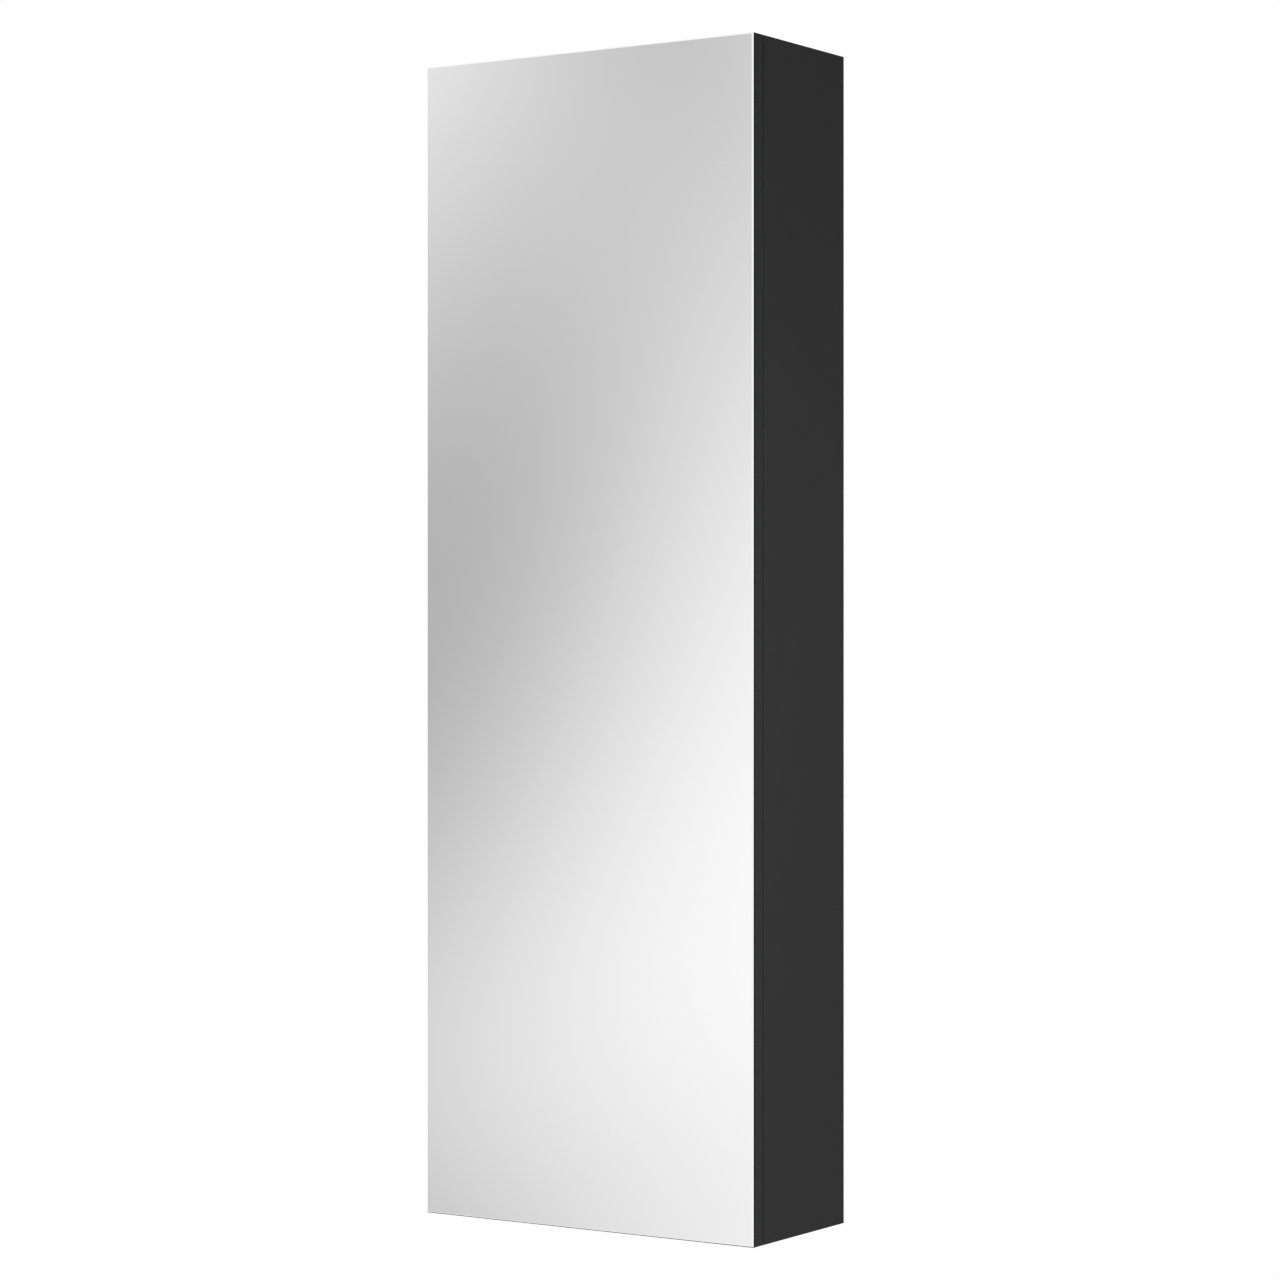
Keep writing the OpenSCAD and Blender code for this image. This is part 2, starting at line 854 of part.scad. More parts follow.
module latch_plunger() {
  color(clear_c)
    difference() {
      translate([latch_x, plunger_y0, latch_z])
        rotate([-90, 0, 0])
          cylinder(d = plunger_d, h = plunger_l);
      translate([latch_x, plunger_y0 - over, latch_z])
        rotate([-90, 0, 0])
          cylinder(d = magnet_d + 2 * seat, h = magnet_l + over);
    }
}

module latch_magnet() {
  color(dark_steel_c)
    translate([latch_x, plunger_y0, latch_z])
      rotate([-90, 0, 0])
        cylinder(d = magnet_d, h = magnet_l);
}

module latch_spring() {
  y0 = plunger_y0 + plunger_l;
  y1 = latch_y1 - latch_end;
  color(steel_c)
    translate([latch_x, y0, latch_z])
      rotate([-90, 0, 0])
        difference() {
          cylinder(d = spring_d, h = y1 - y0);
          translate([0, 0, -over])
            cylinder(d = spring_d - 2 * spring_wall, h = y1 - y0 + 2 * over);
        }
}

module strike_plate() {
  color(steel_c)
    difference() {
      rod_front(strike_x, y_b + strike_t, latch_z, strike_d, strike_t);
      rod_front(strike_x, y_b + strike_t + over, latch_z, pass_d, strike_t + 2 * over);
      translate([strike_x, y_b + strike_t, latch_z])
        rotate([90, 0, 0])
          translate([0, 0, -over])
            cylinder(d = sink_d + 2 * sink_air, h = sink_h + over);
    }
}

module strike_screw() {
  color(steel_c) {
    rod_front(strike_x, y_b + strike_t, latch_z, screw_d, screw_l);
    rod_front(strike_x, y_b + strike_t, latch_z, sink_d, sink_h);
  }
}

// Wall hangers in the upper rear corners

hanger_z1 = in_t - hanger_top;
hanger_z0 = hanger_z1 - hanger_h;
hanger_y1 = back_y;
hanger_y0 = back_y - hanger_l;
// Hook: its height in the body, its front end, its rear end before the wall plate, and its turned-down end
hook_rise = 16;
hook_in = 18;
hook_air = 3.5;
hook_drop = 8;
hook_x = in_r - hanger_w / 2;
hook_z = hanger_z0 + hook_rise;
hook_y0 = hanger_y0 + hook_in;
hook_end = y_w - plate_t - hook_air;
// Room round the hook in the back panel, and in its channel at the front, the sides and above and below
hook_room = 1;
channel_front = 4;
channel_side = 0.2;
channel_edge = 0.4;
cap_wall = 1.2;
cap_fit = 0.1;
cap_front = 0.6;
adjuster_d = 6;
adjuster_l = 13;
adjuster_proud = 0.4;
adjuster_cross = [4, 0.9, 1.6];
adjuster_edge = 6;
adjuster_zs = [hanger_z0 + adjuster_edge, hanger_z1 - adjuster_edge];
// Screw places from the back panel and from the body's lower and upper edge, and the depth their heads sink
hanger_screw_in = [10, 34];
hanger_screw_edge = 7;
hanger_screw_at = [[hanger_y1 - hanger_screw_in[0], hanger_z0 + hanger_screw_edge],
  [hanger_y1 - hanger_screw_in[1], hanger_z1 - hanger_screw_edge]];
hanger_sink = 3;
hanger_sink_d = screw_head_d + 0.6;

module hanger_body(s) {
  color(steel_c)
    difference() {
      translate([s > 0 ? in_r - hanger_w : in_l, hanger_y0, hanger_z0])
        cube([hanger_w, hanger_l, hanger_h]);
      // Channel of the hook
      translate([s * hook_x - hook_t / 2 - channel_side, hook_y0 - channel_front, hook_z - channel_edge])
        cube([hook_t + 2 * channel_side, hanger_l, hook_h + 2 * channel_edge]);
      for (z = adjuster_zs)
        translate([s * hook_x, hanger_y0 - over, z])
          rotate([-90, 0, 0])
            cylinder(d = adjuster_d + 2 * seat, h = adjuster_l + tip + over, $fn = 32);
      for (p = hanger_screw_at) {
        side_rod(s, p[0], p[1], pass_d, over, hanger_w + over);
        side_rod(s, p[0], p[1], hanger_sink_d, hanger_sink - hanger_w, hanger_w + over);
      }
    }
}

module hanger_body_left() {
  hanger_body(-1);
}

module hanger_body_right() {
  hanger_body(1);
}

module hanger_screws() {
  color(steel_c)
    for (s = [-1, 1], p = hanger_screw_at) {
      side_rod(s, p[0], p[1], screw_d, screw_l, hanger_w - hanger_sink);
      side_rod(s, p[0], p[1], screw_head_d, hanger_sink - hanger_w, hanger_w - hanger_sink + screw_head_h);
    }
}

module hanger_adjusters() {
  color(dark_steel_c)
    for (s = [-1, 1], z = adjuster_zs)
      translate([s * hook_x, hanger_y0 - adjuster_proud, z])
        rotate([-90, 0, 0])
          difference() {
            cylinder(d = adjuster_d, h = adjuster_l, $fn = 32);
            cross_cut(adjuster_cross);
          }
}

// Flat hook that leaves through the back panel and turns down behind the wall plate's lip
module hanger_hook(s) {
  color(steel_c)
    translate([s * hook_x - hook_t / 2, 0, 0]) {
      translate([0, hook_y0, hook_z])
        cube([hook_t, hook_end - hook_y0, hook_h]);
      translate([0, hook_end - hook_t, hook_z - hook_drop])
        cube([hook_t, hook_t, hook_drop + over]);
    }
}

module hanger_hook_left() {
  hanger_hook(-1);
}

module hanger_hook_right() {
  hanger_hook(1);
}

// Cover that slips over the hanger body from the room side
module hanger_cap(s) {
  w = hanger_w + cap_fit + cap_wall;
  color(plastic_c)
    difference() {
      translate([s > 0 ? in_r - w : in_l, hanger_y0 - cap_front - cap_wall, hanger_z0 - cap_fit - cap_wall])
        cube([w, hanger_l + cap_front + cap_wall, hanger_h + 2 * (cap_fit + cap_wall)]);
      translate([s > 0 ? in_r - w + cap_wall : in_l - over, hanger_y0 - cap_front, hanger_z0 - cap_fit])
        cube([w - cap_wall + over, hanger_l + cap_front + over, hanger_h + 2 * cap_fit]);
    }
}

module hanger_cap_left() {
  hanger_cap(-1);
}

module hanger_cap_right() {
  hanger_cap(1);
}

// Wall plate: its outer and lower edge, its two screw holes, and the lip on its upper half
wall_side = 1;
wall_drop = 30;
wall_hole_in = 10;
wall_x1 = in_r - wall_side;
wall_z0 = hook_z - wall_drop;
wall_hole_x = wall_x1 - plate_w + wall_hole_in;
wall_hole_z = wall_z0 + plate_h / 2;
lip_w = 16;
lip_t = 2;
lip_air = 0.2;
lip_under = 6;
lip_y = hook_end - 2 * hook_t - lip_air;

// Plate on the wall with a raised lip that the hook hangs on
module wall_plate(s) {
  color(steel_c)
    difference() {
      union() {
        translate([s > 0 ? wall_x1 - plate_w : -wall_x1, y_w - plate_t, wall_z0])
          cube([plate_w, plate_t, plate_h]);
        translate([s > 0 ? wall_x1 - lip_w : -wall_x1, lip_y, hook_z - hook_drop - lip_under])
          cube([lip_w, y_w - lip_y - plate_t / 2, lip_t]);
        translate([s > 0 ? wall_x1 - lip_w : -wall_x1, lip_y, hook_z - hook_drop - lip_under])
          cube([lip_w, hook_t, hook_drop + lip_under]);
      }
      for (dz = [-1, 1])
        translate([s * wall_hole_x, y_w + over, wall_hole_z + dz * screw_pitch / 2])
          rotate([90, 0, 0])
            cylinder(d = screw_hole, h = plate_t + 2 * over);
    }
}

module wall_plate_left() {
  wall_plate(-1);
}

module wall_plate_right() {
  wall_plate(1);
}

side_panel_left();
side_panel_right();
top_panel();
bottom_panel();
back_panel();
wood_dowels();
cam_bolts();
cam_nuts();
cam_caps();
glass_shelf_1();
glass_shelf_2();
glass_shelf_3();
glass_shelf_4();
shelf_supports();
hanger_body_left();
hanger_body_right();
hanger_hook_left();
hanger_hook_right();
hanger_adjusters();
hanger_screws();
hanger_cap_left();
hanger_cap_right();
wall_plate_left();
wall_plate_right();
door_panel();
mirror_glass();
mirror_adhesive();
door_bumpers();
hinge_cup_1();
hinge_cup_2();
hinge_cup_3();
hinge_cup_screws();
hinge_cup_pins();
outer_link_1();
outer_link_2();
outer_link_3();
inner_link_1();
inner_link_2();
inner_link_3();
hinge_arm_1();
hinge_arm_2();
hinge_arm_3();
hinge_arm_pins();
hinge_adjusters();
hinge_plate_1();
hinge_plate_2();
hinge_plate_3();
hinge_plate_screws();
latch_housing();
latch_plunger();
latch_magnet();
latch_spring();
latch_screws();
strike_plate();
strike_screw();
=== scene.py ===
# %% [markdown]
# # A tall mirror cabinet for the wall
# The cabinet is a narrow box of anthracite board, 1.2 m high, with one door. The door carries a
# mirror over its whole front, and three concealed hinges hold it on the left. Inside are four
# glass shelves, a push latch, and two hangers that hook over plates on the wall.
#
# The solids come ready-made from the workshop model, at their real size and place. This lesson
# gives them their finishes, and makes anew the pieces whose edges, recesses and polish matter.

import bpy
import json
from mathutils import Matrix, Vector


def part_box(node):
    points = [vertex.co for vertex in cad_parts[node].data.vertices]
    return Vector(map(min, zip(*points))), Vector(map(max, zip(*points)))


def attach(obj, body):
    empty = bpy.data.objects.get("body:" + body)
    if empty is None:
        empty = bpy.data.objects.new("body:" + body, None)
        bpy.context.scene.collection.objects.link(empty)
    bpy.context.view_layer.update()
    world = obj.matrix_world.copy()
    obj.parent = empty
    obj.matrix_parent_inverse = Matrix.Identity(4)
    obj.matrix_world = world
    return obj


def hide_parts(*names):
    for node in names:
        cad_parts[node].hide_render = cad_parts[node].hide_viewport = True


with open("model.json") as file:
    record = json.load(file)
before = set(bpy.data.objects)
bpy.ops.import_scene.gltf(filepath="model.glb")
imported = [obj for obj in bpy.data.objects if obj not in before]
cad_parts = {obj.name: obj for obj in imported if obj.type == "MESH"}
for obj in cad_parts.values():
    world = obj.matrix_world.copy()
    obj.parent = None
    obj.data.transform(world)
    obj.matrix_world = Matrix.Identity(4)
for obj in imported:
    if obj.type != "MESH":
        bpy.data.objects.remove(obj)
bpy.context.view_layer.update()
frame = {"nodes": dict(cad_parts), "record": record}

# %% Tools used in every step
import json
import math

import bmesh
import bpy
from mathutils import Matrix, Vector

MM = 0.001

# %% [markdown]
# ## Where the camera stands
# A catalogue picture of a tall cabinet is taken from far away with a long lens, so that its
# upright edges stay upright. The camera is level with the middle of the cabinet and turned 33
# degrees to the right of its front. The lens follows from how much the far edges shrink.

# %% The camera
TURN = math.radians(33.13)
MIDDLE = Vector((0, 0, 0.6))
DISTANCE, ASIDE = 3.6925, 0.0069

towards_camera = Vector((math.sin(TURN), -math.cos(TURN), 0))
to_the_right = Vector((math.cos(TURN), math.sin(TURN), 0))
lens = bpy.data.cameras.new("long_lens")
lens.lens = 100
lens.sensor_width = 36
camera = bpy.data.objects.new("camera", lens)
camera.location = MIDDLE + towards_camera * DISTANCE + to_the_right * ASIDE
camera.rotation_euler = (math.pi / 2, 0, TURN)
bpy.context.scene.collection.objects.link(camera)
bpy.context.scene.camera = camera
bpy.context.scene.view_settings.view_transform = "Standard"
print("camera at", [round(c, 3) for c in camera.location])

# %% [markdown]
# ## The studio that the mirror looks into
# A mirror has no colour of its own: what makes it read as glass is the soft change of tone in
# the room it faces. In this picture a white room is broken by a few large grey screens with soft
# edges. They could be real panels, but a panel near the object moves in the mirror with every
# step, so here they are painted into the world, far away, by their direction.
#
# Each screen is a soft oval round one direction. A Mapping node turns and squeezes space so that
# the oval becomes a ball, and the darkness falls off as exp(-distance squared). One black screen
# stands behind the right side, as a photographer's flag does, so that the matt board stays dark.

# %% A soft grey screen, far away
world = bpy.data.worlds.new("studio")
world.use_nodes = True
bpy.context.scene.world = world
sky = world.node_tree
sky.nodes.clear()
direction = sky.nodes.new("ShaderNodeTexCoord").outputs["Object"]


def sky_math(operation, a, b):
    node = sky.nodes.new("ShaderNodeMath")
    node.operation = operation
    for socket, value in zip(node.inputs, (a, b)):
        if isinstance(value, (int, float)):
            socket.default_value = value
        else:
            sky.links.new(value, socket)
    return node.outputs[0]


def soft_screen(strength, across, up, lean, wide, tall, deep=0.6):
    """across: degrees from the cabinet's front towards its left; lean, up: degrees too."""
    a, e = math.radians(across), math.radians(up)
    turn = sky.nodes.new("ShaderNodeMapping")
    turn.vector_type = "TEXTURE"
    middle = (-math.sin(a) * math.cos(e), -math.cos(a) * math.cos(e), math.sin(e))
    turn.inputs["Location"].default_value = middle
    turn.inputs["Rotation"].default_value = (0, math.radians(lean), math.pi - a)
    turn.inputs["Scale"].default_value = (wide, deep, tall)
    sky.links.new(direction, turn.inputs["Vector"])
    far = sky.nodes.new("ShaderNodeVectorMath")
    far.operation = "LENGTH"
    sky.links.new(turn.outputs["Vector"], far.inputs[0])
    squared = sky_math("MULTIPLY", far.outputs["Value"], far.outputs["Value"])
    fall = sky_math("POWER", math.exp(-1), squared)
    return sky_math("MULTIPLY", fall, strength)


# %% Hang the screens and join them with the white room
SCREENS = [
    # strength, across, up, lean, wide, tall: the first three show in the photographed view
    (0.60, 42.2, -13.1, 18.8, 0.169, 0.061),
    (0.60, 36.5, 20.2, 25.0, 0.050, 0.189),
    (0.60, 37.2, 0.1, -23.5, 0.082, 0.206),
    # the others show when the camera or the door is turned
    (0.20, 0, 6, 0, 0.30, 0.50),
    (0.20, 100, 8, 0, 0.30, 0.50),
    (0.34, 61, -14, 0, 0.15, 0.42),
    (0.40, 15, -6, 14, 0.10, 0.20),
    (0.42, -34, 8, 0, 0.28, 0.40),
]
ROOM = 1.081
DARKEST_GREY, DARKEST = 0.3, 0.05

reflected = ROOM
for screen in SCREENS:
    reflected = sky_math("SUBTRACT", reflected, soft_screen(*screen))
reflected = sky_math("MAXIMUM", reflected, DARKEST_GREY)
dark_screen = soft_screen(1.0, -147, 6, 0, 0.9, 1.1, deep=1.0)
reflected = sky_math("MAXIMUM", sky_math("SUBTRACT", reflected, dark_screen), DARKEST)
print("screens:", len(SCREENS) + 1)

# %% [markdown]
# ## Three jobs for one world
# The world is a plain white backdrop for the camera, the soft studio above for mirrors and
# glass, and an even grey light for everything that is matt. Light Path tells which job a ray
# has, so the backdrop can be pure white without over-lighting the dark board.

# %% The backdrop, the reflections and the even light
path = sky.nodes.new("ShaderNodeLightPath")
EVEN_LIGHT = 0.25


def sky_choice(switch, when_on, when_off):
    node = sky.nodes.new("ShaderNodeMix")
    node.data_type = "FLOAT"
    sky.links.new(switch, node.inputs["Factor"])
    for name, value in (("A", when_off), ("B", when_on)):
        if isinstance(value, (int, float)):
            node.inputs[name].default_value = value
        else:
            sky.links.new(value, node.inputs[name])
    return node.outputs["Result"]


shiny = sky_math("MAXIMUM", path.outputs["Is Glossy Ray"], path.outputs["Is Transmission Ray"])
glow = sky_choice(shiny, reflected, EVEN_LIGHT)
glow = sky_choice(path.outputs["Is Camera Ray"], 1.0, glow)
backdrop = sky.nodes.new("ShaderNodeBackground")
backdrop.inputs["Color"].default_value = (1, 1, 1, 1)
sky.links.new(glow, backdrop.inputs["Strength"])
sky.links.new(backdrop.outputs["Background"], sky.nodes.new("ShaderNodeOutputWorld").inputs["Surface"])

# %% [markdown]
# ## Lamps
# Big soft lamps shape the matt surfaces. The strongest stands high in front. A weak one at the
# right, level with the middle of the cabinet, makes the dark side a little lighter there than at
# its top, and one behind keeps the back from going black. The mirror doesn't show them, because
# their hard edges would look like windows.

# %% Soft lamps


def soft_lamp(name, at, aim, size, power):
    lamp = bpy.data.lights.new(name, "AREA")
    lamp.shape = "DISK"
    lamp.size = size
    lamp.energy = power
    holder = bpy.data.objects.new(name, lamp)
    holder.location = at
    holder.rotation_euler = (Vector(aim) - Vector(at)).to_track_quat("-Z", "Y").to_euler()
    holder.visible_glossy = False
    holder.visible_transmission = False
    bpy.context.scene.collection.objects.link(holder)


soft_lamp("front_lamp", (-1.4, -2.8, 2.3), (0, 0, 0.6), 1.8, 180)
soft_lamp("right_lamp", (1.3, -0.4, 0.52), (0.2, 0, 0.52), 0.7, 11.5)
soft_lamp("rear_lamp", (-1.2, 2.6, 1.6), (0, 0, 0.6), 1.6, 40)

# %% [markdown]
# ## The floor
# The cabinet hangs half a metre above the floor. The floor is a pale disc that fades out at its
# rim, so no horizon shows. It is matt and takes the cabinet's shadow. It also glows, which lifts
# it to the white of the backdrop. Only the camera, mirrors and glass see the glow, so the floor
# looks the same in all of them, and nothing matt is lit by it.

# %% A pale floor
FLOOR_Z = -0.5
FLOOR_RADIUS, FADE_FROM, FADE_TO = 2.3, 1.1, 2.25
FLOOR_GREY, FLOOR_GLOW = 0.42, 0.5

bm = bmesh.new()
bmesh.ops.create_circle(bm, cap_ends=True, segments=96, radius=FLOOR_RADIUS)
bmesh.ops.translate(bm, vec=(0, 0, FLOOR_Z), verts=bm.verts)
floor_mesh = bpy.data.meshes.new("floor")
bm.to_mesh(floor_mesh)
bm.free()
floor = bpy.data.objects.new("floor", floor_mesh)
bpy.context.scene.collection.objects.link(floor)

pale = bpy.data.materials.new("pale_floor")
pale.use_nodes = True
nt = pale.node_tree
nt.nodes.clear()
place = nt.nodes.new("ShaderNodeTexCoord")
out_from_middle = nt.nodes.new("ShaderNodeVectorMath")
out_from_middle.operation = "LENGTH"
rim = nt.nodes.new("ShaderNodeMapRange")
rim.interpolation_type = "SMOOTHSTEP"
rim.inputs["From Min"].default_value = FADE_FROM
rim.inputs["From Max"].default_value = FADE_TO
matt = nt.nodes.new("ShaderNodeBsdfDiffuse")
matt.inputs["Color"].default_value = (FLOOR_GREY, FLOOR_GREY, FLOOR_GREY, 1)
lift = nt.nodes.new("ShaderNodeEmission")
lift.inputs["Color"].default_value = (1, 1, 1, 1)
seen = nt.nodes.new("ShaderNodeLightPath")
in_a_mirror = nt.nodes.new("ShaderNodeMath")
in_a_mirror.operation = "MAXIMUM"
by_camera_too = nt.nodes.new("ShaderNodeMath")
by_camera_too.operation = "MAXIMUM"
level = nt.nodes.new("ShaderNodeMath")
level.operation = "MULTIPLY"
level.inputs[1].default_value = FLOOR_GLOW
both = nt.nodes.new("ShaderNodeAddShader")
clear = nt.nodes.new("ShaderNodeBsdfTransparent")
fade = nt.nodes.new("ShaderNodeMixShader")
nt.links.new(place.outputs["Object"], out_from_middle.inputs[0])
nt.links.new(out_from_middle.outputs["Value"], rim.inputs["Value"])
nt.links.new(seen.outputs["Is Glossy Ray"], in_a_mirror.inputs[0])
nt.links.new(seen.outputs["Is Transmission Ray"], in_a_mirror.inputs[1])
nt.links.new(in_a_mirror.outputs[0], by_camera_too.inputs[0])
nt.links.new(seen.outputs["Is Camera Ray"], by_camera_too.inputs[1])
nt.links.new(by_camera_too.outputs[0], level.inputs[0])
nt.links.new(level.outputs[0], lift.inputs["Strength"])
nt.links.new(matt.outputs[0], both.inputs[0])
nt.links.new(lift.outputs[0], both.inputs[1])
nt.links.new(rim.outputs["Result"], fade.inputs["Fac"])
nt.links.new(both.outputs[0], fade.inputs[1])
nt.links.new(clear.outputs[0], fade.inputs[2])
nt.links.new(fade.outputs[0], nt.nodes.new("ShaderNodeOutputMaterial").inputs["Surface"])
floor_mesh.materials.append(pale)

# %% [markdown]
# ## How a finish is built
# Nearly every finish here is one Principled shader with three small helpers on it: a noise that
# shifts the colour a little, the same noise on the roughness, and a fine relief. Their scale is
# in metres, because the coordinates are the object's own, so a grain of 0.8 mm stays 0.8 mm.
# A Bevel node in front of the relief softens the light on hard edges of folded or cast metal.

# %% Helpers for finishes


def new_finish(name, colour, rough, metal=0.0, shine=0.5):
    mat = bpy.data.materials.new(name)
    mat.use_nodes = True
    shader = mat.node_tree.nodes["Principled BSDF"]
    shader.inputs["Base Color"].default_value = (*colour, 1)
    shader.inputs["Roughness"].default_value = rough
    shader.inputs["Metallic"].default_value = metal
    shader.inputs["Specular IOR Level"].default_value = shine
    return mat, shader


def grain(mat, size, stretch=(1, 1, 1), detail=3.0):
    """A noise whose spots are about size metres across, drawn out along the larger stretches."""
    nt = mat.node_tree
    place = nt.nodes.new("ShaderNodeTexCoord")
    squeeze = nt.nodes.new("ShaderNodeMapping")
    squeeze.inputs["Scale"].default_value = [1 / s for s in stretch]
    noise = nt.nodes.new("ShaderNodeTexNoise")
    noise.inputs["Scale"].default_value = 1 / size
    noise.inputs["Detail"].default_value = detail
    nt.links.new(place.outputs["Object"], squeeze.inputs["Vector"])
    nt.links.new(squeeze.outputs["Vector"], noise.inputs["Vector"])
    return noise.outputs["Fac"]


def tone(mat, shader, fac, dark, light):
    """The colour wanders between two close tones."""
    mix = mat.node_tree.nodes.new("ShaderNodeMix")
    mix.data_type = "RGBA"
    mix.inputs["A"].default_value = (*dark, 1)
    mix.inputs["B"].default_value = (*light, 1)
    mat.node_tree.links.new(fac, mix.inputs["Factor"])
    mat.node_tree.links.new(mix.outputs["Result"], shader.inputs["Base Color"])


def gloss(mat, shader, fac, low, high):
    """The roughness wanders between two values."""
    span = mat.node_tree.nodes.new("ShaderNodeMapRange")
    span.inputs["From Min"].default_value = 0.3
    span.inputs["From Max"].default_value = 0.7
    span.inputs["To Min"].default_value = low
    span.inputs["To Max"].default_value = high
    mat.node_tree.links.new(fac, span.inputs["Value"])
    mat.node_tree.links.new(span.outputs["Result"], shader.inputs["Roughness"])


def relief(mat, shader, fac, height, soft_edge=0.0):
    """A fine relief, height metres high, over edges rounded by soft_edge metres."""
    nt = mat.node_tree
    bump = nt.nodes.new("ShaderNodeBump")
    bump.inputs["Strength"].default_value = 1
    bump.inputs["Distance"].default_value = height
    nt.links.new(fac, bump.inputs["Height"])
    if soft_edge:
        bevel = nt.nodes.new("ShaderNodeBevel")
        bevel.samples = 4
        bevel.inputs["Radius"].default_value = soft_edge
        nt.links.new(bevel.outputs["Normal"], bump.inputs["Normal"])
    nt.links.new(bump.outputs["Normal"], shader.inputs["Normal"])


# %% [markdown]
# ## Board
# The carcass and the door are particle board faced with melamine paper, a hard matt skin with a
# fine pearl texture from the press plate. The edges are closed with a 1 mm plastic band that is
# a little smoother. The door's band matches the board. The band on the front of the carcass is
# painted a shade lighter. This painted light lifts the shade in the gap beside the door, which
# would otherwise look black.

# %% Anthracite board and its edge bands
board, shader = new_finish("anthracite_board", (0.028, 0.028, 0.0286), 0.5, shine=0.12)
pearl = grain(board, 0.9 * MM)
tone(board, shader, grain(board, 45 * MM, detail=2), (0.0265, 0.0265, 0.0271), (0.0295, 0.0295, 0.0301))
gloss(board, shader, pearl, 0.46, 0.56)
relief(board, shader, pearl, 0.035 * MM)


def band_finish(name, dark, light):
    mat, shader = new_finish(name, light, 0.48, shine=0.12)
    comb = grain(mat, 1.2 * MM, stretch=(1, 1, 14))
    tone(mat, shader, comb, dark, light)
    gloss(mat, shader, comb, 0.44, 0.54)
    relief(mat, shader, comb, 0.008 * MM)
    return mat


door_band = band_finish("door_band", (0.0263, 0.0263, 0.0269), (0.0297, 0.0297, 0.0303))
# painted light: the carcass band is coloured lighter than the door's to lift the shade in the gap
carcass_band_painted_lighter = band_finish("carcass_band_painted_lighter", (0.037, 0.037, 0.0377), (0.041, 0.041, 0.0417))

# %% [markdown]
# ## Metal
# Four metals meet here. Zinc-plated steel is grey and slightly cloudy. Nickel on the hinges is
# warmer and brighter, and satin enough to catch light inside the dark carcass. The set screws and
# cams are dark zinc. The hanger bodies are cast, with a grainy skin. All are the same recipe with
# other numbers.

# %% Steel, nickel, dark steel and cast zinc


def metal_finish(name, dark, light, low, high, size, height):
    mat, shader = new_finish(name, light, low, metal=1.0)
    cloud = grain(mat, size)
    tone(mat, shader, cloud, dark, light)
    gloss(mat, shader, cloud, low, high)
    relief(mat, shader, grain(mat, size / 5), height, soft_edge=0.35 * MM)
    return mat


METALS = {
    # dark and light tone, low and high roughness, size and height of the grain
    "zinc_plated_steel": ((0.5, 0.5, 0.5), (0.66, 0.66, 0.65), 0.26, 0.42, 4 * MM, 0.006 * MM),
    "nickel_plate": ((0.68, 0.66, 0.62), (0.75, 0.73, 0.69), 0.36, 0.41, 3 * MM, 0.003 * MM),
    "dark_zinc": ((0.2, 0.2, 0.21), (0.32, 0.32, 0.33), 0.35, 0.5, 3 * MM, 0.005 * MM),
    "cast_zinc": ((0.4, 0.4, 0.41), (0.52, 0.52, 0.53), 0.42, 0.58, 1.5 * MM, 0.03 * MM),
}
steel, nickel, dark_steel, cast_zinc = (metal_finish(name, *look) for name, look in METALS.items())

# %% [markdown]
# ## Plastics, rubber and wood
# The covers are moulded in a spark-eroded tool, which leaves an even fine grain. The bumpers are
# clear silicone. The dowels are beech, with fine lines along the grain. They only show when the
# carcass is apart, but every piece that is made gets its finish.

# %% Plastics, silicone, adhesive and beech
plastic, shader = new_finish("dark_plastic", (0.031, 0.031, 0.032), 0.5, shine=0.2)
spark = grain(plastic, 0.5 * MM)
tone(plastic, shader, spark, (0.028, 0.028, 0.029), (0.034, 0.034, 0.035))
gloss(plastic, shader, spark, 0.46, 0.58)
relief(plastic, shader, spark, 0.015 * MM, soft_edge=0.3 * MM)

grey_plastic, shader = new_finish("grey_plastic", (0.33, 0.33, 0.34), 0.4)
spark = grain(grey_plastic, 0.6 * MM)
tone(grey_plastic, shader, spark, (0.31, 0.31, 0.32), (0.36, 0.36, 0.37))
gloss(grey_plastic, shader, spark, 0.35, 0.48)
relief(grey_plastic, shader, spark, 0.01 * MM, soft_edge=0.3 * MM)

silicone, shader = new_finish("clear_silicone", (0.75, 0.76, 0.76), 0.25, shine=0.4)
haze = grain(silicone, 1.0 * MM)
tone(silicone, shader, haze, (0.68, 0.69, 0.69), (0.8, 0.81, 0.81))
gloss(silicone, shader, haze, 0.2, 0.35)
shader.inputs["Transmission Weight"].default_value = 0.6
shader.inputs["IOR"].default_value = 1.41

adhesive, shader = new_finish("mirror_adhesive", (0.06, 0.06, 0.06), 0.6, shine=0.3)
lumps = grain(adhesive, 2 * MM)
tone(adhesive, shader, lumps, (0.05, 0.05, 0.05), (0.075, 0.075, 0.075))
relief(adhesive, shader, lumps, 0.03 * MM)

beech, shader = new_finish("beech", (0.55, 0.37, 0.21), 0.55, shine=0.3)
lines = grain(beech, 0.6 * MM, stretch=(16, 1, 1), detail=4)
tone(beech, shader, lines, (0.46, 0.3, 0.16), (0.62, 0.43, 0.26))
relief(beech, shader, lines, 0.03 * MM)

# %% [markdown]
# ## Glass and silver
# The shelves are clear float glass, faintly green because of its iron. Through 5 mm nobody sees
# that, but along a shelf of 365 mm it shows at the edge. Volume absorption gives exactly this.
# The edge itself is ground before it is polished, which leaves a haze that catches light and
# makes it the one part of a glass shelf that is always seen. So it has a finish of its own.
#
# The mirror gets three finishes. Silver is a metal with no roughness at all. The cut edge of the
# pane is dark and glossy, because behind its few millimetres of glass lie paint and dark board.
# The back is covered with a grey paint that protects the silver.

# %% Glass and silver
GLASS_IOR = 1.52
IRON_GREEN, GREEN_PER_METRE = (0.78, 0.955, 0.9, 1), 12


